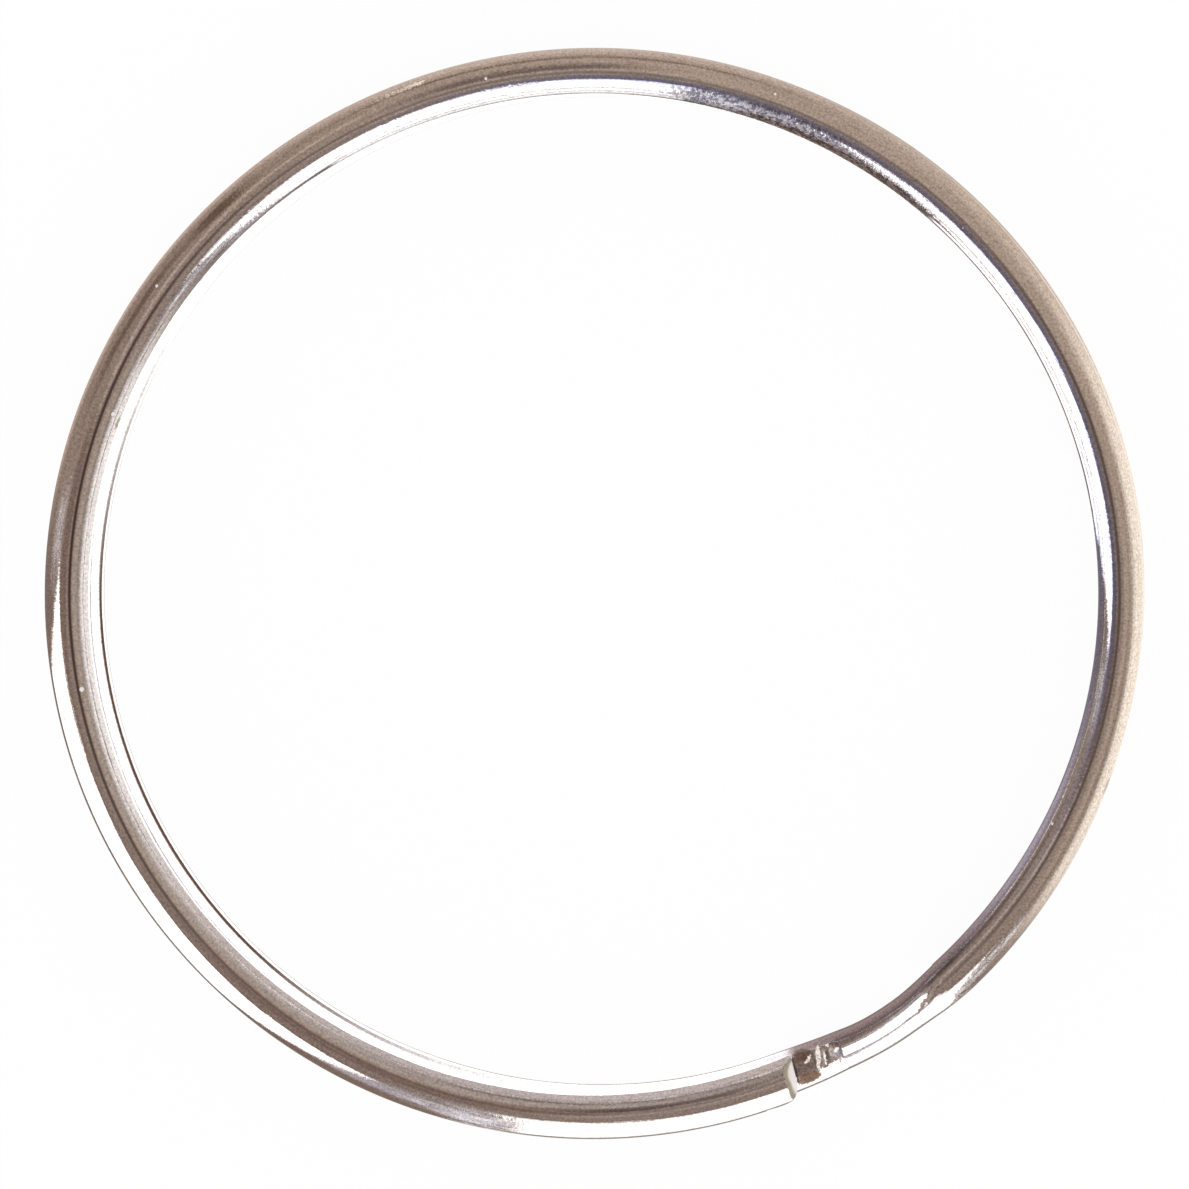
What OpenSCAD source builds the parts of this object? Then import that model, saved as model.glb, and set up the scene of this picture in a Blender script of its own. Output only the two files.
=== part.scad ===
// Split ring of round spring wire.
// Two turns lie one on the other. The upper turn steps down through a pinched crossover and goes
// on as the lower turn, so each turn ends beside the crossover: one end on top, one underneath.
// Z is the ring's axis, the lower turn rests on Z = 0, and the origin is the upper turn's centre
// on that plane. Places round the ring are angles from +X, clockwise as seen from above.

/* [Ring] */
// Outside diameter of the upper turn
ring_d = 50.8; // [36:0.1:90]
// Diameter of the wire
wire_d = 2.1; // [1.4:0.05:3]
// Height of the split between the two turns, where a key is worked in
split_gap = 0.05; // [0.04:0.01:0.4]

/* [Lower turn] */
// How much smaller the lower turn is than the upper one, on the outside diameter
lower_drop = 0.08; // [0:0.02:0.3]
// How far the lower turn has sprung to one side
lower_shift = 0.4; // [0:0.05:0.6]
// Where round the ring the lower turn has sprung to
lower_shift_at = 10; // [0:5:355]
// How far the free end of the lower turn has sprung outwards
end_spring = 0.17; // [0:0.01:0.25]
// Length of the stretch that has sprung outwards
spring_len = 17; // [12:1:22]

/* [Crossover] */
// Where the wire leaves the upper turn and starts to step down
step_at = 47.5; // [0:0.5:359.5]
// Length of the step, along the turn
step_len = 6.6; // [5:0.1:12]
// Inside radius of the easy bend at the top of the step
top_bend_r = 2; // [0.8:0.1:5]
// Inside radius of the sharp bend at the foot of the step
foot_bend_r = 0.45; // [0.2:0.05:3]
// How far the step bows outwards, in the middle
step_bow = 0.13; // [0:0.01:0.2]

/* [Pinch] */
// How much the forming tool has narrowed the wire, at the narrowest place
pinch = 0.3; // [0:0.02:0.6]
// How far ahead of the step the narrowing starts
pinch_lead = 0.9; // [0.2:0.1:3]
// How far past the foot of the step the narrowing ends
pinch_tail = 2.8; // [0.2:0.1:4]
// Length of the narrowest stretch, over the middle of the slope
pinch_len = 1.6; // [0:0.1:2.5]

/* [Tool mark] */
// Depth of the nick that the forming tool left across the wire, just past the foot of the step
nick_depth = 0.06; // [0:0.01:0.15]
// Width of the nick along the wire
nick_w = 0.45; // [0.2:0.05:0.6]
// Distance from the foot of the step to the middle of the nick
nick_past = 0.4; // [0.35:0.05:1.2]
// Where the nick lies round the wire, from the outside of the ring over the top
nick_angle = 112; // [60:1:150]

/* [Ends] */
// Distance from the foot of the step to the end of the upper turn
upper_end_gap = 1.8; // [1.2:0.1:8]
// Distance from the end of the lower turn to the start of the step
lower_end_gap = 0.2; // [0.1:0.1:8]
// Radius of the edge round each end
end_edge_r = 0.5; // [0.1:0.05:0.6]
// Angle at which that edge runs out into the side of the wire
end_edge_run = 24; // [16:1:35]
// How far out of square the wire was cut
end_slant = 8; // [0:1:15]
// Radius to which the outer side of each end is rolled, seen from above
end_roll_r = 1.08; // [0.6:0.02:1.2]

/* [Hidden] */
$fn = 96;

wire_r = wire_d / 2;
upper_r = ring_d / 2 - wire_r;
lower_r = upper_r - lower_drop / 2;
lower_z = wire_r;
upper_z = lower_z + wire_d + split_gap;
step_drop = upper_z - lower_z;

// Angle that a length of wire takes up on the upper turn
function turn(length) = length / upper_r * 180 / PI;

// Point at an angle round the ring, clockwise from +X, at radius r and height z
function round_ring(r, angle, z) = [r * cos(angle), -r * sin(angle), z];

lower_centre = round_ring(lower_shift, lower_shift_at, 0);

// Side view of the step: an arc, a straight slope and an arc. The slope follows from the length,
// the drop and the two centreline radii: len sin(slope) + (radii - drop) cos(slope) = radii.
top_r = top_bend_r + wire_r;
foot_r = foot_bend_r + wire_r;
radii = top_r + foot_r;
slope = asin(radii / norm([step_len, radii - step_drop])) - atan2(radii - step_drop, step_len);
top_run = top_r * sin(slope);
foot_run = foot_r * sin(slope);

// How far the centreline has come down at a distance u along the step
function drop(u) =
    u <= 0 ? 0 :
    u < top_run ? top_r - sqrt(top_r * top_r - u * u) :
    u < step_len - foot_run ? top_r * (1 - cos(slope)) + (u - top_run) * tan(slope) :
    u < step_len ? step_drop - foot_r + sqrt(foot_r * foot_r - pow(step_len - u, 2)) :
    step_drop;

// How far out the step bows at a distance u along it: nothing at its ends, most in the middle
function bow(u) =
    u <= 0 || u >= step_len + pinch_tail ? 0 : step_bow * pow(sin(180 * u / (step_len + pinch_tail)), 2);

// Centreline of the crossover: it leaves the upper circle and joins the lower one as it drops
function centreline(u) =
    let(
        angle = step_at + turn(u),
        share = drop(u) / step_drop,
        on_upper = round_ring(upper_r, angle, upper_z),
        on_lower = lower_centre + round_ring(lower_r, angle, lower_z)
    )
    on_upper * (1 - share) + on_lower * share + round_ring(bow(u), angle, 0);

// The crossover is a tube of flat facets, a hair larger than the round turns that run into it
facets = 32;
seam = 0.004;
lap = wire_d / 4;
tube_r = (wire_r + seam) / cos(180 / facets);
tube_from = -pinch_lead - lap;
tube_to = step_len + pinch_tail + lap;

// Rises smoothly from 0 to 1 as u goes from a to b
function ease(u, a, b) = u <= a ? 0 : u >= b ? 1 : (1 - cos(180 * (u - a) / (b - a))) / 2;

// How much narrower the wire is at a distance u along the step
slope_mid = (top_run + step_len - foot_run) / 2;
function narrowing(u) =
    pinch
    * ease(u, -pinch_lead, slope_mid - pinch_len / 2)
    * (1 - ease(u, slope_mid + pinch_len / 2, step_len + pinch_tail));

// How deep the nick is at a distance u along the step and an angle round the wire
nick_at = step_len + nick_past;
function nick(u, angle) =
    abs(u - nick_at) >= nick_w / 2 ? 0 :
    nick_depth * (1 + cos(360 * (u - nick_at) / nick_w)) / 2 * pow(max(0, cos(angle - nick_angle)), 2);

function unit(v) = v / norm(v);

// One ring of the tube: its corners stand round the centreline, square to the wire
function tube_ring(u) =
    let(
        step = wire_r / 1000,
        along = unit(centreline(u + step) - centreline(u - step)),
        outward = unit(cross([0, 0, 1], along)),
        upward = cross(along, outward)
    )
    [for (i = [0:facets - 1])
        let(angle = 360 * i / facets, r = tube_r - nick(u, angle))
        centreline(u) + outward * (r - narrowing(u) / 2) * cos(angle) + upward * r * sin(angle)];

// Places of the rings: even steps of length on the straights, and of angle in the bends
lead_steps = 5;
bend_steps = 6;
slope_steps = 8;
nick_steps = 6;
tail_steps = 6;
slope_run = step_len - top_run - foot_run;
nick_to = nick_at + nick_w / 2;
stations = concat(
    [for (i = [0:lead_steps - 1]) tube_from * (1 - i / lead_steps)],
    [for (i = [0:bend_steps]) top_r * sin(slope * i / bend_steps)],
    [for (i = [1:slope_steps - 1]) top_run + slope_run * i / slope_steps],
    [for (i = [bend_steps:-1:0]) step_len - foot_r * sin(slope * i / bend_steps)],
    [for (i = [0:nick_steps]) nick_to - nick_w * (1 - i / nick_steps)],
    [for (i = [1:tail_steps]) nick_to + (tube_to - nick_to) * i / tail_steps]
);

module crossover() {
    rings = len(stations);
    points = [for (u = stations) each tube_ring(u)];
    sides = [for (k = [0:rings - 2], i = [0:facets - 1])
        let(j = (i + 1) % facets, here = k * facets, next = here + facets)
        [here + i, next + i, next + j, here + j]];
    first_face = [for (i = [0:facets - 1]) i];
    last_face = [for (i = [facets - 1:-1:0]) (rings - 1) * facets + i];
    polyhedron(points, concat([first_face], sides, [last_face]));
}

// A round length of wire along a turn, clockwise from one angle to another
module arc_of_wire(r, z, from, to, thick = wire_r) {
    rotate_extrude(angle = to - from, start = -to)
        translate([r, z])
            circle(thick);
}

// What is cut away from a square end to leave its rounded edge. It lies along Y, the end at Y = 0.
module edge_cutter() {
    edge_x = wire_r - end_edge_r * cos(end_edge_run);
    reach = 2 * wire_r;
    back = reach / tan(end_edge_run);
    rotate([-90, 0, 0])
        rotate_extrude()
            difference() {
                translate([0, -end_edge_r])
                    square([reach, end_edge_r + reach]);
                translate([edge_x, -end_edge_r])
                    circle(end_edge_r);
                polygon([
                    [0, 0],
                    [edge_x, 0],
                    [edge_x, -end_edge_r],
                    [wire_r, -end_edge_r * (1 - sin(end_edge_run))],
                    [wire_r + reach, -end_edge_r * (1 - sin(end_edge_run)) - back],
                    [0, -end_edge_r * (1 - sin(end_edge_run)) - back]
                ]);
            }
}

// What is cut away to roll the outer side, from the side of the wire round to the slanted face
module roll_cutter() {
    reach = 2 * wire_r;
    roll_x = wire_r - end_roll_r;
    roll_y = -(end_roll_r + roll_x * sin(end_slant)) / cos(end_slant);
    translate([roll_x, roll_y, -reach])
        linear_extrude(2 * reach)
            difference() {
                polygon([[0, 0], [reach, 0], [reach, reach], reach * [sin(end_slant), cos(end_slant)]]);
                circle(end_roll_r);
            }
}

// What is cut away at an end. The wire lies along Y, the outside of the ring towards +X.
module end_cutter() {
    rotate([0, 0, -end_slant])
        edge_cutter();
    roll_cutter();
}

// The upper turn runs from its end to the crossover
module upper_turn() {
    end_at = step_at + turn(step_len + upper_end_gap);
    difference() {
        arc_of_wire(upper_r, upper_z, end_at - turn(wire_r), step_at + 360 - turn(pinch_lead + lap / 2));
        rotate([0, 0, -end_at])
            translate([upper_r, 0, upper_z])
                end_cutter();
    }
}

// The lower turn runs from the crossover to its end. Its last stretch has sprung open to a larger
// radius. It is a hair larger than the rest of the turn, which runs into it.
module lower_turn() {
    end_at = step_at + 360 - turn(lower_end_gap);
    open_at = end_at - turn(spring_len);
    opening = end_spring / (1 - cos(turn(spring_len)));
    back = round_ring(-opening, open_at, 0);
    translate([lower_centre.x, lower_centre.y, 0]) {
        arc_of_wire(lower_r, lower_z, step_at + turn(step_len + pinch_tail + lap / 2), open_at + turn(lap));
        translate([back.x, back.y, 0])
            difference() {
                arc_of_wire(lower_r + opening, lower_z, open_at, end_at + turn(wire_r), wire_r + seam);
                rotate([0, 0, -end_at])
                    translate([lower_r + opening, 0, lower_z])
                        mirror([0, 1, 0])
                            end_cutter();
            }
    }
}

module split_ring() {
    color("silver") {
        upper_turn();
        crossover();
        lower_turn();
    }
}

split_ring();
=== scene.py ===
"""Split ring: bright plated spring wire in two turns, on a pale floor in soft studio light."""

import math

import bpy
import numpy as np
from mathutils import Matrix, Vector


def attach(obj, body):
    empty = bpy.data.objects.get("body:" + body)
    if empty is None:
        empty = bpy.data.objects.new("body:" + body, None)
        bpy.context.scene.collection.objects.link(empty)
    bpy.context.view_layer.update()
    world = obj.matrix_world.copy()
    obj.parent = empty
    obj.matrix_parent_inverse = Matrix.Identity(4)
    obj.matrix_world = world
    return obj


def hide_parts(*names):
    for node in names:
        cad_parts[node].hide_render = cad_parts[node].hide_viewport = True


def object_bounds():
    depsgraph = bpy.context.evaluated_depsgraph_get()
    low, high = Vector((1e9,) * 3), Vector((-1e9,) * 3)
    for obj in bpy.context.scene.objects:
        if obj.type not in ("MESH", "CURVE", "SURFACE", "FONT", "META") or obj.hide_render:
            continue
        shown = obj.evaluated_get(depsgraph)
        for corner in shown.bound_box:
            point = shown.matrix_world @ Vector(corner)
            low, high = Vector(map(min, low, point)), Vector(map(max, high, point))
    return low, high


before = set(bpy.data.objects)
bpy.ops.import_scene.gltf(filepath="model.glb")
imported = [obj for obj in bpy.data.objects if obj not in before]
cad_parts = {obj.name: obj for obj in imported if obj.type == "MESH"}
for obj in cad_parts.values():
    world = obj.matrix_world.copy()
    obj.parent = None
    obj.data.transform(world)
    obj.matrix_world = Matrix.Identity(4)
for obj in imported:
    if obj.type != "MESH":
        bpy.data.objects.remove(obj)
cad_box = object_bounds()

MM = 0.001

# The wire, as the part's own source has it, in millimetres and degrees. Angles round the ring are
# clockwise from +X as seen from above, and u is a distance along the wire from the start of the
# step: below 0 on the upper turn, from 0 to STEP_LEN on the step, and beyond it on the lower turn.
RING_R = 25.4
WIRE_R = 1.05
SPLIT_GAP = 0.05
LOWER_DROP = 0.04
LOWER_SHIFT = 0.4
LOWER_SHIFT_AT = 10
END_SPRING = 0.17
SPRING_LEN = 17
STEP_AT = 47.5
STEP_LEN = 6.6
TOP_BEND_R = 2
FOOT_BEND_R = 0.45
STEP_BOW = 0.13
PINCH = 0.3
PINCH_LEAD = 0.9
PINCH_TAIL = 2.8
PINCH_LEN = 1.6
UPPER_END_GAP = 1.8
LOWER_END_GAP = 0.2
END_SLANT = 8
END_ROLL_R = 1.08

UPPER_R = RING_R - WIRE_R
LOWER_R = UPPER_R - LOWER_DROP
UPPER_Z = 3 * WIRE_R + SPLIT_GAP
LOWER_Z = WIRE_R
STEP_DROP = UPPER_Z - LOWER_Z
ONE_TURN = 2 * math.pi * UPPER_R
FIRST_U = STEP_LEN + UPPER_END_GAP - ONE_TURN
LAST_U = ONE_TURN - LOWER_END_GAP

# The bevel over the top of each end: how far down it reaches at the middle of the wire, how much
# further for each millimetre inwards, and the radius of the fine edges beside it
BEVEL_FOOT = 0.6
BEVEL_LEAN = 0.35
EDGE_R = 0.05

# Rings of the mesh: how many sides they have, and how far apart they stand on the turns and on the
# step. Then the length of an end, its number of rings and how often its place is halved to find it.
SIDES = 80
TURN_PITCH = 0.45
STEP_PITCH = 0.055
CAP_LEN = 1.8
CAP_RINGS = 64
CAP_HALVINGS = 40

# The wire is this much thinner than its nominal size, so that it stays inside the CAD facets
FIT = 0.995


# ---------------------------------------------------------------- shape of the wire


def ease(u, a, b):
    """Rises from 0 at a to 1 at b as half a cosine wave."""
    return (1 - np.cos(np.pi * np.clip((u - a) / (b - a), 0, 1))) / 2


def step_slope():
    """Angle of the straight slope: len sin(a) + (radii - drop) cos(a) = radii."""
    radii = TOP_BEND_R + FOOT_BEND_R + 2 * WIRE_R
    rest = radii - STEP_DROP
    return math.asin(radii / math.hypot(STEP_LEN, rest)) - math.atan2(rest, STEP_LEN)


def drop(u):
    """How far the centreline has come down at u: an arc, a straight slope and an arc."""
    slope = step_slope()
    top_r, foot_r = TOP_BEND_R + WIRE_R, FOOT_BEND_R + WIRE_R
    top_run, foot_run = top_r * math.sin(slope), foot_r * math.sin(slope)
    on_top = top_r - np.sqrt(top_r**2 - np.clip(u, 0, top_run) ** 2)
    on_slope = np.clip(u - top_run, 0, STEP_LEN - foot_run - top_run) * math.tan(slope)
    left = np.clip(STEP_LEN - u, 0, foot_run)
    on_foot = np.sqrt(foot_r**2 - left**2) - foot_r * math.cos(slope)
    return on_top + on_slope + on_foot


def round_ring(r, angle):
    """Points at radius r and an angle clockwise from +X."""
    return np.stack([r * np.cos(angle), -r * np.sin(angle)], -1)


def lower_centre():
    """Middle of the lower turn."""
    return round_ring(LOWER_SHIFT, math.radians(LOWER_SHIFT_AT))


def centreline(u):
    """The upper circle, which blends into the lower one in step with the drop and bows outwards
    as half a wave on the way, squared. The last stretch of the lower turn follows a larger circle
    that touches it."""
    step_at = math.radians(STEP_AT)
    angle = step_at + u / UPPER_R
    share = (drop(u) / STEP_DROP)[..., None]
    open_at = step_at + (LAST_U - SPRING_LEN) / UPPER_R
    opening = END_SPRING / (1 - math.cos(SPRING_LEN / UPPER_R))
    wider = opening * (angle > open_at)[..., None]
    lower = lower_centre() + round_ring(LOWER_R, angle)
    lower += wider * (round_ring(1, angle) - round_ring(1, open_at))
    bow = round_ring(STEP_BOW * np.sin(np.pi * np.clip(u / (STEP_LEN + PINCH_TAIL), 0, 1)) ** 2, angle)
    plan = round_ring(UPPER_R, angle) * (1 - share) + lower * share + bow
    return np.concatenate([plan, UPPER_Z - STEP_DROP * share], -1)


def wire_frame(u):
    """Centreline, outward and upward directions at u, square to the wire."""
    a_hair = 0.001
    along = centreline(u + a_hair) - centreline(u - a_hair)
    along /= np.linalg.norm(along, axis=-1, keepdims=True)
    outward = np.cross([0.0, 0.0, 1.0], along)
    outward /= np.linalg.norm(outward, axis=-1, keepdims=True)
    return centreline(u), outward, np.cross(along, outward)


def narrowing(u):
    """How much narrower the pinched wire is at u."""
    slope = step_slope()
    top_run = (TOP_BEND_R + WIRE_R) * math.sin(slope)
    foot_run = (FOOT_BEND_R + WIRE_R) * math.sin(slope)
    middle = (top_run + STEP_LEN - foot_run) / 2
    rise = ease(u, -PINCH_LEAD, middle - PINCH_LEN / 2)
    return PINCH * rise * (1 - ease(u, middle + PINCH_LEN / 2, STEP_LEN + PINCH_TAIL))


# Marks of the forming tool near the foot of the step: where along the wire each is deepest, how
# far it reaches before and after that, where it lies round the wire from the outside over the
# top, its half width there, how deep it is, and how far along the wire it leans for each
# millimetre outwards.
TOOL_MARKS = (
    # at, before, after, round, half width, depth, lean
    (7.17, 0.30, 0.09, 106, 26, 0.10, 0.40),
    (6.80, 0.10, 0.12, 100, 30, 0.030, 0.40),
    (6.30, 0.42, 0.30, 88, 26, -0.045, 0.20),
    (6.62, 0.10, 0.10, 125, 14, 0.020, 0.00),
    (7.62, 0.20, 0.12, 115, 16, 0.035, -0.60),
)


def tool_marks(u, angle):
    """Depth of the tool marks: each one rises and falls as cosine waves along and across."""
    depth = np.zeros(np.broadcast(u, angle).shape)
    for at, before, after, middle, half, deep, lean in TOOL_MARKS:
        across = np.clip(1 - ((np.degrees(angle) - middle) / half) ** 2, 0, 1) ** 0.7
        place = u - at - lean * WIRE_R * (np.cos(angle) - math.cos(math.radians(middle)))
        ahead = np.where(place < 0, 1 + place / before, 1 - place / after)
        depth += deep * across * ease(ahead, 0, 1)
    return depth


def cut_end(x, y, z):
    """Below 0 inside the end of a wire that lies along y and ends at y = 0: what the round side,
    the slanted face that rolls round to the outside and the bevel over the top leave of it."""
    slant = math.radians(END_SLANT)
    round_side = np.hypot(x, z) - WIRE_R
    roll_x = WIRE_R - END_ROLL_R
    roll_y = -(END_ROLL_R + roll_x * math.sin(slant)) / math.cos(slant)
    across = (x - roll_x) * math.cos(slant) - (y - roll_y) * math.sin(slant)
    ahead = (x - roll_x) * math.sin(slant) + (y - roll_y) * math.cos(slant)
    face = np.where(across > 0, np.hypot(across, np.maximum(ahead, 0)), ahead) - END_ROLL_R
    bevel = (face + z + BEVEL_LEAN * np.maximum(-x, 0) - BEVEL_FOOT) / math.sqrt(2)
    return both(both(round_side, face), bevel)


def both(a, b):
    """Distance outside the more outward of two surfaces, with an edge of EDGE_R where they meet."""
    edge = np.hypot(np.maximum(a + EDGE_R, 0), np.maximum(b + EDGE_R, 0))
    return np.minimum(np.maximum(a, b), -EDGE_R) + edge


def cap(angle):
    """Rings of one end, from the wire's side to near its tip, as x, y and z from the tip. Rays
    that fan out from a point on the centreline are followed to where cut_end turns positive."""
    tilt = (np.pi / 2 * (1 - np.arange(1, CAP_RINGS) / CAP_RINGS))[:, None]
    ray = np.sin(tilt) * np.cos(angle), np.cos(tilt) + 0 * angle, np.sin(tilt) * np.sin(angle)
    low, high = np.zeros(ray[1].shape), np.full(ray[1].shape, 2 * CAP_LEN)
    for _ in range(CAP_HALVINGS):
        middle = (low + high) / 2
        outside = cut_end(middle * ray[0], middle * ray[1] - CAP_LEN, middle * ray[2]) > 0
        low, high = np.where(outside, low, middle), np.where(outside, middle, high)
    return low * ray[0], low * ray[1] - CAP_LEN, low * ray[2]


def wire_mesh():
    """The whole wire as one closed grid of rings: a cap, the tube and a cap. Each point stands at
    x outwards and z upwards from the centreline at its own u. The attribute cut is how deep below
    the round side of the wire a point of an end lies."""
    angle = 2 * np.pi * np.arange(SIDES) / SIDES
    start, end = FIRST_U + CAP_LEN, LAST_U - CAP_LEN
    fine_from, fine_to = -PINCH_LEAD, STEP_LEN + PINCH_TAIL
    u = np.concatenate([
        np.linspace(start, fine_from, round((fine_from - start) / TURN_PITCH), endpoint=False),
        np.linspace(fine_from, fine_to, round((fine_to - fine_from) / STEP_PITCH), endpoint=False),
        np.linspace(fine_to, end, round((end - fine_to) / TURN_PITCH)),
    ])[:, None]
    r = WIRE_R - tool_marks(u, angle)
    x, z = (r - narrowing(u) / 2) * np.cos(angle), r * np.sin(angle)
    cap_x, cap_y, cap_z = cap(angle)
    cap_cut = WIRE_R - np.hypot(cap_x, cap_z)
    all_u = np.concatenate([(FIRST_U - cap_y)[::-1], u + 0 * angle, LAST_U + cap_y])
    all_x = np.concatenate([cap_x[::-1], x, cap_x])
    all_z = np.concatenate([cap_z[::-1], z, cap_z])
    cut = np.concatenate([cap_cut[::-1].ravel(), 0 * x.ravel(), cap_cut.ravel(), [WIRE_R, WIRE_R]])
    centre, outward, upward = wire_frame(all_u)
    rings = centre + (outward * all_x[..., None] + upward * all_z[..., None]) * FIT
    poles = centreline(np.array([FIRST_U, LAST_U]))
    count = len(rings)
    points = np.concatenate([rings.reshape(-1, 3), poles]) * MM

    here = np.arange(count * SIDES).reshape(count, SIDES)
    after = np.roll(here, -1, axis=1)
    quads = np.stack([here[:-1], after[:-1], after[1:], here[1:]], -1).reshape(-1, 4)
    tip, tail = count * SIDES, count * SIDES + 1
    fans = np.concatenate([
        np.stack([np.full(SIDES, tip), after[0], here[0]], -1),
        np.stack([np.full(SIDES, tail), here[-1], after[-1]], -1),
    ])
    mesh = bpy.data.meshes.new("plated_wire")
    mesh.from_pydata(points.tolist(), [], quads.tolist() + fans.tolist())
    lay_out(mesh, (all_u - FIRST_U) / (LAST_U - FIRST_U), count)
    mesh.attributes.new("cut", "FLOAT", "POINT").data.foreach_set("value", cut.astype(np.float32))
    mesh.polygons.foreach_set("use_smooth", np.ones(len(mesh.polygons), bool))
    mesh.update()
    return mesh


def lay_out(mesh, along, count):
    """UV map: across is the share of the way along the wire, up is the share of the way round."""
    around = np.arange(SIDES + 1) / SIDES
    wide = np.concatenate([along, along[:, :1]], axis=1)

    def corner(ring, side):
        return np.stack([wide[ring, side], around[side]], -1)

    ring, side = np.meshgrid(np.arange(count - 1), np.arange(SIDES), indexing="ij")
    quads = np.stack([
        corner(ring, side), corner(ring, side + 1), corner(ring + 1, side + 1), corner(ring + 1, side),
    ], 2)
    sides = np.arange(SIDES)
    first = np.zeros(SIDES, int)
    last = first + count - 1
    tip = np.stack([np.zeros(SIDES), (sides + 0.5) / SIDES], -1)
    tail = np.stack([np.ones(SIDES), (sides + 0.5) / SIDES], -1)
    fans = np.concatenate([
        np.stack([tip, corner(first, sides + 1), corner(first, sides)], 1),
        np.stack([tail, corner(last, sides), corner(last, sides + 1)], 1),
    ])
    uv = np.concatenate([quads.reshape(-1, 2), fans.reshape(-1, 2)])
    mesh.uv_layers.new(name="along_and_round").data.foreach_set("uv", uv.astype(np.float32).ravel())


# ---------------------------------------------------------------- shader maths


class Term:
    """One output of a shader tree. Arithmetic on it adds Math nodes."""

    def __init__(self, tree, socket):
        self.tree = tree
        self.socket = socket

    def math(self, operation, *others):
        return add(self.tree, "ShaderNodeMath", {"operation": operation}, (self, *others))

    def __add__(self, other):
        return self.math("ADD", other)

    def __sub__(self, other):
        return self.math("SUBTRACT", other)

    def __mul__(self, other):
        return self.math("MULTIPLY", other)

    def __truediv__(self, other):
        return self.math("DIVIDE", other)

    def __pow__(self, other):
        return self.math("POWER", other)

    def __neg__(self):
        return self * -1.0

    def __abs__(self):
        return self.math("ABSOLUTE")

    def __radd__(self, other):
        return self + other

    def __rsub__(self, other):
        return -self + other

    def ramp(self, low, high):
        """0 below low, 1 above high, and a smooth step between; high may be the lower one."""
        settings = {"interpolation_type": "SMOOTHSTEP"}
        return add(self.tree, "ShaderNodeMapRange", settings, {0: self, 1: low, 2: high})


def add(tree, kind, settings=None, inputs=(), output=0):
    """Adds a node with its settings and then its inputs, by place or name, and gives an output."""
    node = tree.nodes.new(kind)
    for name, value in (settings or {}).items():
        setattr(node, name, value)
    pairs = inputs.items() if isinstance(inputs, dict) else enumerate(inputs)
    for key, value in pairs:
        if isinstance(value, Term):
            tree.links.new(value.socket, node.inputs[key])
        else:
            node.inputs[key].default_value = value
    return Term(tree, node.outputs[output]) if len(node.outputs) else None


def mix(share, below, above):
    """Colour between two colours, by a share from 0 to 1."""
    inputs = {"Factor": share, 6: colour(below), 7: colour(above)}
    return add(share.tree, "ShaderNodeMix", {"data_type": "RGBA"}, inputs, output=2)


def scaled(vector, share):
    """A colour or a place times a number."""
    settings = {"operation": "SCALE"}
    return add(vector.tree, "ShaderNodeVectorMath", settings, {0: vector, "Scale": share})


def parts_of(vector):
    """The three numbers of a place."""
    node = vector.tree.nodes.new("ShaderNodeSeparateXYZ")
    vector.tree.links.new(vector.socket, node.inputs[0])
    return [Term(vector.tree, socket) for socket in node.outputs]


def from_middle(term, middle, half, soft):
    """1 within half less soft of the middle, smoothly down to 0 at half and soft."""
    return abs(term - middle).ramp(half + soft, max(half - soft, 0))


def azimuth_of(x, y):
    """Degrees round the ring, clockwise from +X as seen from above."""
    return (-y).math("ARCTAN2", x) * (180 / math.pi)


def turned(across, middle):
    """Degrees from the azimuth middle to the azimuth across, from -180 to 180."""
    return (across - middle).math("WRAP", 180.0, -180.0)


def colour(value):
    """A colour of three numbers gets its alpha; anything else passes."""
    return (*value, 1.0) if isinstance(value, tuple) and len(value) == 3 else value


def new_material(name):
    """An empty node material and its tree. Light from it is found by reflections alone."""
    material = bpy.data.materials.new(name)
    material.use_nodes = True
    material.node_tree.nodes.clear()
    material.cycles.emission_sampling = "NONE"
    return material, material.node_tree


# ---------------------------------------------------------------- plated wire

# Scuffs that the forming tool left by the foot of the step, one at its top, and three smudges on the
# upper turn. Their colours paint in light and shade: the near-white ones are painted highlights, the
# dark ones painted shade, and the thin dark one at 8.69 is the painted shadow under the upper end.
# Where along the wire and round it each lies, its half length and half width, how far it leans along
# the wire for each degree round, its colour on the screen and how much of it shows.
SCUFFS_AND_PAINTED_LIGHT = (
    (8.15, 104, 0.60, 52, 0.000, (110, 90, 78), 0.90),
    (8.20, 66, 0.58, 17, 0.000, (112, 82, 62), 0.90),
    (8.20, 97, 0.45, 12, 0.000, (116, 104, 104), 0.80),
    (8.20, 130, 0.50, 12, 0.000, (98, 74, 60), 0.80),
    (8.69, 98, 0.05, 44, -0.002, (78, 62, 58), 1.00),
    (5.93, 106, 0.06, 20, -0.002, (112, 108, 116), 1.00),
    (6.40, 100, 0.40, 18, 0.000, (164, 157, 170), 0.90),
    (6.45, 93, 0.40, 5, 0.000, (170, 150, 148), 0.80),
    (6.35, 115, 0.36, 6, 0.002, (252, 245, 242), 1.00),
    (6.75, 110, 0.12, 16, 0.000, (184, 170, 168), 0.80),
    (6.85, 132, 0.09, 4.5, 0.000, (255, 250, 244), 1.00),
    (7.02, 107, 0.09, 15, -0.002, (92, 80, 75), 0.95),
    (7.16, 102, 0.05, 19, -0.003, (253, 244, 240), 1.00),
    (7.31, 103, 0.05, 15, -0.005, (142, 128, 124), 0.95),
    (7.45, 112, 0.12, 32, -0.0055, (246, 234, 232), 1.00),
    (7.67, 116, 0.05, 20, -0.004, (106, 98, 84), 0.95),
    (7.43, 86, 0.05, 7, -0.010, (112, 100, 90), 0.90),
    (7.95, 117, 0.12, 10, -0.0175, (240, 230, 226), 1.00),
    (0.98, 100, 0.28, 15, -0.045, (136, 120, 110), 0.90),
    (-11.7, 26, 0.45, 9, 0.000, (150, 152, 136), 0.60),
    (-87.8, 152, 0.32, 6, 0.020, (140, 148, 112), 0.80),
    (-66.5, 42, 0.45, 4, 0.000, (236, 228, 222), 0.80),
)
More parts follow.
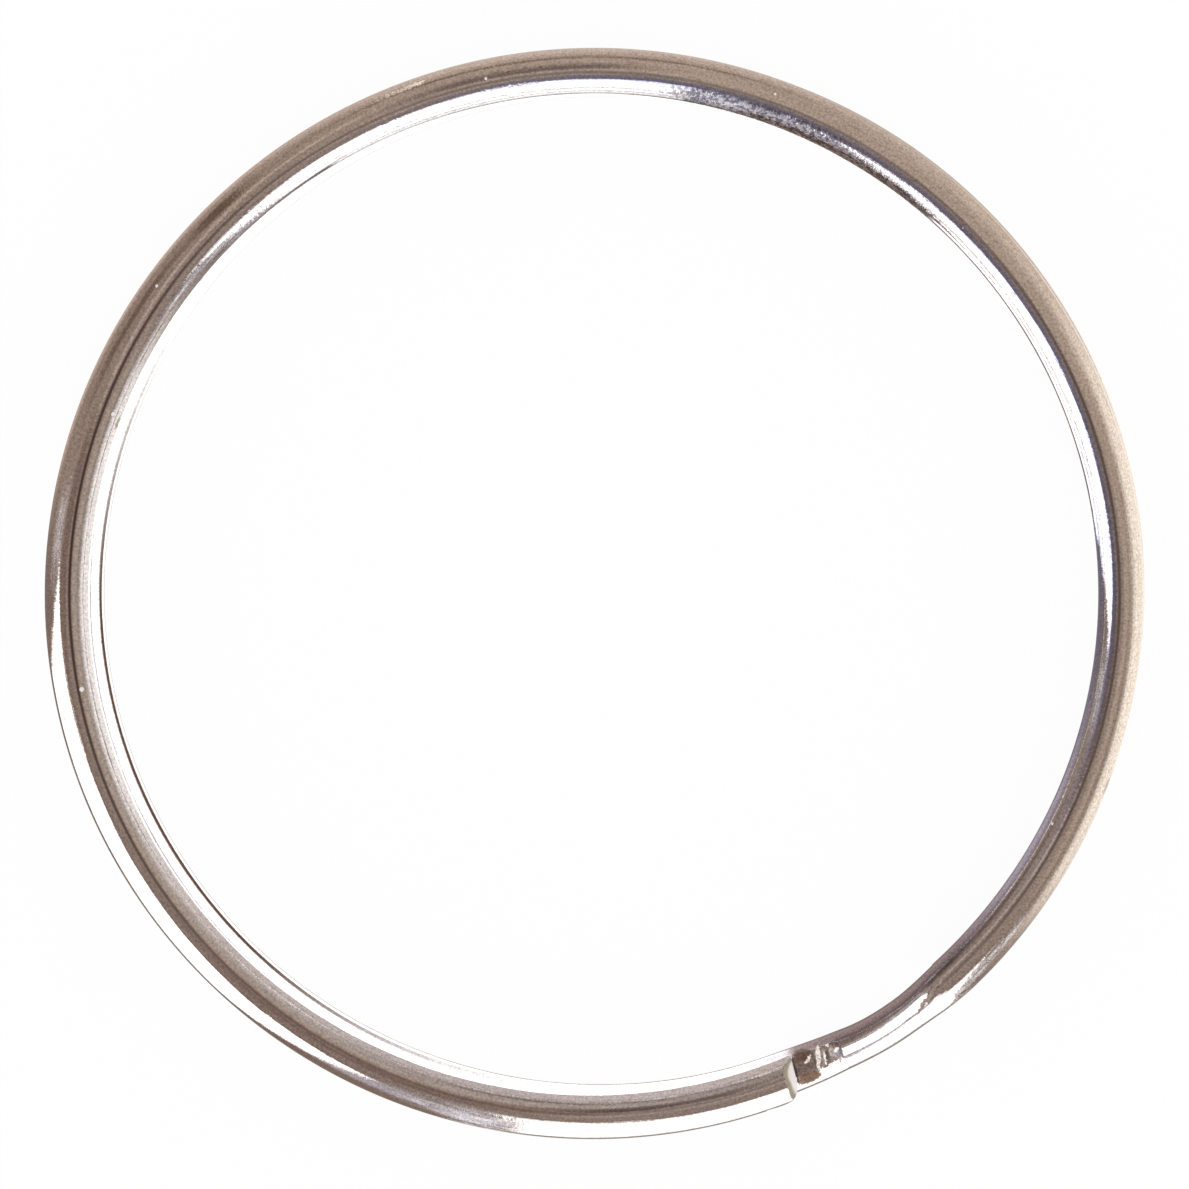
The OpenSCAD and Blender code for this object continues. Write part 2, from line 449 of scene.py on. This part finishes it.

# Bands of painted reflection and shade on the plating, some bluer, one redder and one darker where the
# wire mirrors the room, each over the ones before. A band lies at an angle round the wire, follows the
# crest line or slants away from it near the upper end. Then its middle, half width and softness in
# degrees round the wire, its middle, half length and softness along the wire, its tint and how much
# of it shows.
PAINTED_REFLECTION_AND_SHADE_BANDS = (
    ("crest", 14, 7, 5, -38, 27, 9, (0.62, 0.67, 0.96), 1.0),
    ("angle", 180, 33, 9, -12, 13, 4, (0.62, 0.67, 0.96), 1.0),
    ("slant", 0, 10, 6, -131, 18, 8, (0.46, 0.37, 0.35), 0.8),
    ("angle", 180, 51, 7, 2.5, 6.5, 3.5, (0.40, 0.36, 0.42), 0.9),
    ("angle", 180, 59, 7, -113.5, 31.5, 5, (0.79, 0.785, 0.84), 1.0),
)
# Painted reflection tints: the outside of the wire mirrors a warmer room, the inside bluer light
OUTSIDE_REFLECTION_TINT = (0.835, 0.775, 0.73)
INSIDE_REFLECTION_TINT = (0.80, 0.765, 0.765)
SPECKLE_TINT = (0.24, 0.23, 0.28)
CREST_REFLECTION_TINT = (0.15, 0.105, 0.09)
DUST_TINT = (0.90, 0.89, 0.86)

# The crest line, a painted reflection of the camera above the ring: its middle in degrees round the
# wire, and how far it swings to both sides of that over a turn
CREST_AT = 100.5
CREST_SWING = 8.0


def screen(*tone):
    """The base colour of a matt surface that shows in even light as a colour of the screen, which
    is given from 0 to 255."""
    return tuple((c / 255) ** 2.2 for c in tone)


def plated_wire():
    """Bright nickel on drawn wire: die lines along the wire, fine pits that gather in patches,
    a few specks of dust, and painted reflections that tint the plating warmer outside and bluer
    inside, with painted bands of reflection and shade and a painted reflection along the crest. The
    scuffs of the forming tool, with their painted highlights and shade, and the faces of the cut
    ends are matt."""
    material, tree = new_material("plated_wire")
    place_mm = scaled(add(tree, "ShaderNodeTexCoord", output=3), 1 / MM)
    uv = add(tree, "ShaderNodeUVMap", {"uv_map": "along_and_round"})
    along, around, _ = parts_of(uv)
    along, around = along * (LAST_U - FIRST_U) + FIRST_U, around * 360.0

    def noise(vector, scale, detail=2.0, roughness=0.5):
        inputs = {"Vector": vector, "Scale": scale, "Detail": detail, "Roughness": roughness}
        return add(tree, "ShaderNodeTexNoise", {"noise_dimensions": "3D"}, inputs)

    def stretched(along_scale, across_scale):
        size = (2 * ONE_TURN * along_scale, 2 * math.pi * WIRE_R * across_scale, 0.0)
        return add(tree, "ShaderNodeVectorMath", {"operation": "MULTIPLY"}, (uv, size))

    # Relief: lines left by the die, pits, waves and dust
    die_lines = noise(stretched(0.10, 5.0), 1.0, 3.0, 0.6)
    hair_lines = noise(stretched(0.5, 14.0), 1.0, 1.0, 0.5)
    inside_top = from_middle(along, -45, 30, 10)
    pitted = noise(place_mm, 0.16, 3.0, 0.6).ramp(0.44, 0.62) * (0.2 + inside_top * 0.8)
    pits = noise(place_mm, 5.0, 2.0, 0.65)
    grain = noise(place_mm, 9.0, 1.0, 0.6)
    waves = noise(place_mm, 1.2, 2.0, 0.5)
    specks = add(tree, "ShaderNodeTexVoronoi", {"feature": "F1"}, {"Vector": place_mm, "Scale": 0.9})
    speck_size = noise(place_mm, 0.7, 0.0).ramp(0.46, 0.70) * 0.10
    dust = (speck_size - specks).ramp(-0.012, 0.012)
    height = die_lines * 0.008 + pits * (0.002 + pitted * 0.012) + waves * 0.004 + dust * 0.01
    bump = add(tree, "ShaderNodeBump", {}, {"Strength": 1.0, "Distance": MM, "Height": height})

    # Painted reflection and shade on the plating, over a painted reflection tint that is warmer outside
    # than inside
    turn = along * (2 * math.pi / ONE_TURN) + math.radians(STEP_AT)
    from_crest = around - (CREST_AT + turn.math("SINE") * CREST_SWING)

    def painted_band(round_wire, middle, half, soft, at, half_length, soft_end):
        """Share of a stripe of painted reflection and shade, soft at its sides and ends."""
        return from_middle(round_wire, middle, half, soft) * from_middle(along, at, half_length, soft_end)

    metal = mix(abs(around - 180.0).ramp(110.0, 70.0), OUTSIDE_REFLECTION_TINT, INSIDE_REFLECTION_TINT)
    slanting = from_crest + 4.0 - along.ramp(-126.0, -143.0) * 25.0
    round_wire = {"crest": from_crest, "angle": around, "slant": slanting}
    for follows, *extent, tint, share in PAINTED_REFLECTION_AND_SHADE_BANDS:
        metal = mix(painted_band(round_wire[follows], *extent) * share, metal, tint)
    speckled = from_middle(along, -50.5, 4.6, 1.6) * around.ramp(100.0, 112.0)
    speckled = speckled.math("MAXIMUM", from_middle(along, -44.5, 3.5, 2.5) * around.ramp(118.0, 140.0))
    speckled = speckled * around.ramp(196.0, 178.0) * pits.ramp(0.53, 0.47)
    metal = mix(speckled * 0.9, metal, SPECKLE_TINT)
    # The crest line, a painted reflection of the camera above, is strongest towards -X and half as
    # strong towards +X
    strong = ((turn - math.radians(188)).math("COSINE") * 0.5 + 0.5) ** 6.0
    strong = strong + (turn.math("COSINE") * 0.5 + 0.5) ** 6.0 * 0.5
    crest = from_middle(from_crest, 0, 3.6, 2.4) * along.ramp(0.6, -0.2)
    metal = mix(crest * (0.34 + strong * 0.5 + grain * 0.24), metal, CREST_REFLECTION_TINT)
    # Painted shade: a darker stretch of the inside of the upper turn, and a darker band beside the crest
    # line
    painted_inner_shade = painted_band(around, 180, 26.5, 5.5, -63, 11, 3) * 0.55
    shade = painted_band(from_crest, 9, 9, 5, -39, 24, 8) * 0.2
    tone = (0.78 + die_lines * 0.36) * (0.86 + hair_lines * 0.28) * (0.42 + grain * 1.16)
    metal = scaled(metal, tone * (1.0 - painted_inner_shade) * (1.0 - shade))

    # What is matt: dust, scuffs with their painted highlights and shade, and the faces of the cut ends
    base, matt = scuffs_and_painted_light(mix(dust, metal, DUST_TINT), dust * 0.8, place_mm, along, around, noise)
    depth = add(tree, "ShaderNodeAttribute", {"attribute_name": "cut"}, output=2)
    cut = depth.ramp(0.006, 0.03)
    scored = 0.86 + noise(stretched(6.0, 0.6), 1.0, 2.0, 0.6) * 0.2
    sheared = mix(depth.ramp(0.08, 0.24), screen(158, 150, 128), screen(246, 237, 234))
    base = mix(cut, base, scaled(sheared, scored))
    matt = matt.math("MAXIMUM", cut * 0.9)
    roughness = 0.03 + die_lines * 0.05 + pitted * 0.03 + matt * 0.35
    shader = add(
        tree, "ShaderNodeBsdfPrincipled", {},
        {"Base Color": base, "Roughness": roughness, "Metallic": 1.0 - matt, "Normal": bump},
    )
    add(tree, "ShaderNodeOutputMaterial", {}, {"Surface": shader})
    return material


def scuffs_and_painted_light(base, matt, place_mm, along, around, noise):
    """Lays the ragged, mottled scuffs, with their painted highlights and shade, over a base colour
    and over how matt it is.
    """
    ragged_along = along + (noise(place_mm, 5.0, 2.0, 0.7) - 0.5) * 0.16
    ragged_around = around + (noise(place_mm, 3.4, 2.0, 0.7) - 0.5) * 26.0
    mottle = ((noise(place_mm, 9.0, 2.0, 0.7) - 0.5) * 2.6 + 1.0).math("MAXIMUM", 0.3)
    rust = noise(place_mm, 4.0, 1.0, 0.5).ramp(0.40, 0.60)
    mottle = scaled(mix(rust, (0.96, 1.0, 1.02), (1.10, 0.96, 0.84)), mottle)
    for at, middle, half, wide, lean, tone, share in SCUFFS_AND_PAINTED_LIGHT:
        off = ragged_around - middle
        reach = ((ragged_along - at - off * lean) / half) ** 2.0 + (off / wide) ** 2.0
        mark = reach.ramp(1.25, 0.8) * share
        paint = (screen(*tone), mottle)
        paint = add(mark.tree, "ShaderNodeVectorMath", {"operation": "MULTIPLY"}, paint)
        base = mix(mark, base, paint)
        matt = matt.math("MAXIMUM", mark)
    return base, matt


# ---------------------------------------------------------------- studio

DOME_R = 126

# The share of the light that the plating gives back, the light of the windows, which shows in it as
# full white, and the colour of the room as it shows there
GIVEN_BACK = 0.68
WHITE = (1.7, 1.7, 1.7)
ROOM = (128, 115, 107)


def seen(*tone):
    """The light that shows in the plating as a colour of the screen."""
    return tuple(c / GIVEN_BACK for c in screen(*tone))


# Soft-edged areas of the dome, each over the ones before: azimuth, half width and softness in
# degrees, then height, half height and softness, the colour seen and how much of it.
DOME_AREAS = (
    (300, 60, 25, 15, 75, 20, (149, 136, 126), 1.0),
    (335, 28, 18, -25, 48, 25, (176, 163, 151), 1.0),
    (10, 31, 17, -20, 44, 17, (224, 216, 205), 1.0),
    (270, 40, 20, -45, 35, 25, (180, 168, 160), 0.9),
    (215, 34, 20, -52, 26, 20, (176, 159, 148), 0.9),
    (345, 70, 25, 58, 12, 8, (152, 138, 126), 0.9),
    (208, 10, 8, 22, 10, 8, (90, 74, 66), 0.8),
    (223, 3.5, 3, 22, 18, 8, (84, 68, 58), 0.9),
    (265, 26, 10, 14, 3.5, 3, (102, 86, 74), 0.9),
    (248.5, 1.6, 1.2, 3, 9, 3, (215, 204, 194), 0.9),
    (262, 14, 7, 58, 12, 9, (96, 85, 82), 0.9),
    (172, 16, 10, 62, 14, 8, (98, 82, 74), 0.8),
    (113, 70, 8, 5, 60, 14, (112, 98, 92), 0.9),
    (148, 28, 10, -50, 26, 10, (108, 100, 97), 0.9),
    (72, 26, 8, -50, 26, 10, (125, 118, 115), 0.9),
    (8, 42, 18, -80, 28, 14, (228, 222, 218), 1.0),
    (101, 3, 2, 15, 25, 10, (208, 210, 226), 0.9),
    (111, 8, 4, 26, 18, 8, (160, 156, 168), 0.8),
)

# Where the room is a fine mix of light and dark: the same columns but for the colour
DAPPLED_AREAS = (
    (99.5, 3, 2, 5, 60, 10, 0.6),
    (105, 3.5, 2.5, 26, 30, 8, 0.35),
    (181.5, 4, 3, 24, 20, 10, 0.55),
    (45.2, 3.5, 2, 24, 14, 6, 0.75),
    (50, 2.5, 2, 12, 20, 8, 0.8),
    (55, 3.5, 3, 0, 34, 10, 0.8),
)

# Windows: azimuth of the left edge and how far it leans for each degree up, the same for the right
# edge, then the height of the top, its softness, its slope from an azimuth and its arch, and the
# height and softness of the bottom. The softness of the sides is the same for both.
SOFT_SIDE = 1.2
WINDOWS = (
    (53.5, -0.13, 97, 0.0, 56, 5, -0.25, 80, 0.0, -26, 10),
    (121.5, -0.25, 170.2, 0.14, 51.5, 2.0, 0.0, 141, 0.007, -28, 6),
)

# The mount above the ring, and the width of its soft edge
MOUNT_MIDDLE = (2.0, 15.0, 95.0)
MOUNT_R = 24
MOUNT_EDGE = 6

# Glowing white strips that stand inside the ring, a painted reflection of the lit floor there: name,
# radius, whether it stands round the middle of the lower turn and not of the upper one, foot and top,
# the azimuths between which it is lit, and where a dark band of painted shadow, the ring's own shadow
# on the floor, lies on it, from one azimuth to another and from one height to another.
LOW_STRIPS = (
    ("near_strip", LOWER_R - WIRE_R - 0.3, True, 0.0, 2.6, ((67, 325),), (112, 202, 1.05, 1.5)),
    ("far_strip", 21.0, False, 0.5, 2.3, ((239, 280), (312, 354)), None),
)


def dome():
    """The room that the ring mirrors, as a dome of DOME_R about it: brown-grey, cream low on the
    +X side, and two white windows towards -Y. Only reflections see it."""
    material, tree = new_material("dome")
    place = add(tree, "ShaderNodeTexCoord", output=3)
    x, y, z = parts_of(add(tree, "ShaderNodeVectorMath", {"operation": "NORMALIZE"}, (place,)))
    across, height = azimuth_of(x, y), z.math("ARCSINE") * (180 / math.pi)

    def area(azimuth, half, soft, level, half_height, soft_height):
        """Share of an area, soft all round."""
        wide = from_middle(turned(across, azimuth), 0, half, soft)
        return wide * from_middle(height, level, half_height, soft_height)

    light = seen(*ROOM)
    for *extent, tone, share in DOME_AREAS:
        light = mix(area(*extent) * share, light, seen(*tone))
    streak = from_middle(height + turned(across, 190) * 0.5, 70, 4, 3)
    streak = streak * from_middle(turned(across, 212), 0, 31, 7)
    light = mix(streak * 0.7, light, seen(172, 158, 148))
    cells = add(tree, "ShaderNodeCombineXYZ", {}, (across * 1.5, height * 0.07, 0.0))
    dapple = add(tree, "ShaderNodeTexNoise", {}, {"Vector": cells, "Scale": 1.0, "Detail": 2.0})
    dapple = mix(dapple.ramp(0.44, 0.56), seen(86, 80, 82), seen(250, 250, 255))
    for *extent, share in DAPPLED_AREAS:
        light = mix(area(*extent) * (share * 0.8), light, dapple)

    windows = 0.0
    for left, left_lean, right, right_lean, *top, bottom, soft_bottom in WINDOWS:
        level, soft, slope, middle, arch = top
        inside = (turned(across, left) - height * left_lean).ramp(-SOFT_SIDE, SOFT_SIDE)
        inside = inside * (turned(across, right) - height * right_lean).ramp(SOFT_SIDE, -SOFT_SIDE)
        away = turned(across, middle)
        inside = inside * (height + away * slope + away * away * arch).ramp(level + soft, level - soft)
        inside = inside * height.ramp(bottom - soft_bottom, bottom + soft_bottom)
        windows = inside.math("MAXIMUM", windows)
    glow(material, mix(windows, light, WHITE))
    azimuth = np.linspace(0, 2 * np.pi, 96)
    level = np.linspace(-np.pi / 2, np.pi / 2, 49)[:, None]
    stage_grid("dome", material, DOME_R * np.stack([
        np.cos(level) * np.cos(azimuth), np.cos(level) * np.sin(azimuth), np.sin(level) + 0 * azimuth
    ], -1))


def glow(material, light, share=None):
    """Gives a material its light and, where it has a share, lets the rest through."""
    tree = material.node_tree
    surface = add(tree, "ShaderNodeEmission", {}, {"Color": colour(light), "Strength": 1.0})
    if share:
        through = add(tree, "ShaderNodeBsdfTransparent")
        surface = add(tree, "ShaderNodeMixShader", {}, (share, through, surface))
    add(tree, "ShaderNodeOutputMaterial", {}, {"Surface": surface})


def lens():
    """The mount above the ring, paler than the room, that shows along the crest."""
    material, tree = new_material("lens")
    inputs = (add(tree, "ShaderNodeTexCoord", output=3), tuple(c * MM for c in MOUNT_MIDDLE))
    away = add(tree, "ShaderNodeVectorMath", {"operation": "DISTANCE"}, inputs, output=1) * (1 / MM)
    glow(material, seen(154, 141, 132), away.ramp(MOUNT_R, MOUNT_R - MOUNT_EDGE) * 0.9)
    azimuth, away_r = np.linspace(0, 2 * np.pi, 49), np.array([0.01, MOUNT_R])[:, None]
    stage_grid("lens", material, np.stack([
        MOUNT_MIDDLE[0] + away_r * np.cos(azimuth), MOUNT_MIDDLE[1] + away_r * np.sin(azimuth),
        MOUNT_MIDDLE[2] + 0 * away_r * azimuth,
    ], -1))


def low_strip(name, radius, round_lower, foot, top, lit, painted_shadow):
    """A glowing white strip that paints the lit floor, with the ring's painted shadow where given,
    seen from its outer side alone.
    """
    material, tree = new_material(name)
    x, y, z = parts_of(add(tree, "ShaderNodeTexCoord", output=3))
    across, level = azimuth_of(x, y), z * (1 / MM)

    def between(start, end, soft):
        """1 from one azimuth to another, soft at both."""
        half = (end - start) / 2
        return from_middle(turned(across, start + half), 0, half, soft)

    light = WHITE
    if painted_shadow:
        start, end, low, high = painted_shadow
        # Painted shadow: the ring's own shadow on the floor, as a dark band
        painted_band = level.ramp(low - 0.1, low + 0.1) * level.ramp(high + 0.1, high - 0.1)
        light = mix(painted_band * between(start, end, 25), light, seen(92, 72, 60))
    share = sum(between(start, end, 1) for start, end in lit)
    back = Term(tree, tree.nodes.new("ShaderNodeNewGeometry").outputs["Backfacing"])
    glow(material, light, share * (1.0 - back))
    middle = lower_centre() if round_lower else (0.0, 0.0)
    azimuth, z_level = np.linspace(0, 2 * np.pi, 241), np.array([foot, top])[:, None]
    stage_grid(name, material, np.stack([
        middle[0] + radius * np.cos(azimuth) + 0 * z_level,
        middle[1] + radius * np.sin(azimuth) + 0 * z_level, z_level + 0 * azimuth,
    ], -1))


def stage_grid(name, material, points):
    """Makes a grid of points in millimetres a stage surface that only reflections see."""
    rows, columns = points.shape[:2]
    here = np.arange(rows * columns).reshape(rows, columns)
    quads = np.stack([here[:-1, :-1], here[:-1, 1:], here[1:, 1:], here[1:, :-1]], -1)
    mesh = bpy.data.meshes.new(name)
    mesh.from_pydata((points.reshape(-1, 3) * MM).tolist(), [], quads.reshape(-1, 4).tolist())
    mesh.materials.append(material)
    piece = bpy.data.objects.new(name, mesh)
    for kind in ("camera", "diffuse", "transmission", "volume_scatter", "shadow"):
        setattr(piece, "visible_" + kind, False)
    bpy.context.scene.collection.objects.link(piece)


def daylight():
    """Even white light, and a white background."""
    world = bpy.data.worlds.new("daylight")
    bpy.context.scene.world = world
    world.use_nodes = True
    tree = world.node_tree
    tree.nodes.clear()
    back = add(tree, "ShaderNodeBackground", {}, {"Color": (1.0, 1.0, 1.0, 1.0), "Strength": 1.0})
    add(tree, "ShaderNodeOutputWorld", {}, {"Surface": back})


def floor():
    """A white floor that keeps a little of the ring's shadow. From below, and to the ring's own
    reflections, it is open, so that they reach the lower half of the dome."""
    half, shadow = 400 * MM, 0.05
    material, tree = new_material("floor")
    ray = tree.nodes.new("ShaderNodeLightPath")
    eye, gloss = (Term(tree, ray.outputs[name]) for name in ("Is Camera Ray", "Is Glossy Ray"))
    back = Term(tree, tree.nodes.new("ShaderNodeNewGeometry").outputs["Backfacing"])
    cloth = add(tree, "ShaderNodeBsdfDiffuse", {}, {"Color": (0.96, 0.96, 0.96, 1.0)})
    bright = add(tree, "ShaderNodeEmission", {}, {"Color": (1.0, 1.0, 1.0, 1.0), "Strength": 1.0})
    white = add(tree, "ShaderNodeMixShader", {}, (eye * (1 - shadow), cloth, bright))
    through = add(tree, "ShaderNodeBsdfTransparent")
    surface = add(tree, "ShaderNodeMixShader", {}, (gloss.math("MAXIMUM", back), white, through))
    add(tree, "ShaderNodeOutputMaterial", {}, {"Surface": surface})
    low = cad_box[0][2]
    corners = [(-half, -half, low), (half, -half, low), (half, half, low), (-half, half, low)]
    mesh = bpy.data.meshes.new("floor")
    mesh.from_pydata(corners, [], [(0, 1, 2, 3)])
    mesh.materials.append(material)
    table = bpy.data.objects.new("floor", mesh)
    bpy.context.scene.collection.objects.link(table)


def camera():
    """Nearly straight above, leaning a little towards +Y."""
    distance, lean, towards = 0.206, math.radians(6.9), math.radians(263)
    aim = Vector((-0.01, 0.18, 2 * WIRE_R)) * MM
    back = Vector((
        math.sin(lean) * math.cos(towards), -math.sin(lean) * math.sin(towards), math.cos(lean)
    ))
    data = bpy.data.cameras.new("camera")
    data.sensor_width = 36.0
    data.lens = 134.2
    data.clip_start = 0.001
    eye = bpy.data.objects.new("camera", data)
    right = Vector((0.0, 1.0, 0.0)).cross(back).normalized()
    turn = Matrix((right, back.cross(right), back)).transposed()
    eye.matrix_world = Matrix.Translation(aim + back * distance) @ turn.to_4x4()
    bpy.context.scene.collection.objects.link(eye)
    bpy.context.scene.camera = eye


mesh = wire_mesh()
mesh.materials.append(plated_wire())
ring = bpy.data.objects.new("split_ring_wire", mesh)
bpy.context.scene.collection.objects.link(ring)
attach(ring, "root")
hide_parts("split_ring")

daylight()
dome()
lens()
for strip in LOW_STRIPS:
    low_strip(*strip)
floor()
camera()
bpy.context.scene.view_settings.view_transform = "Standard"
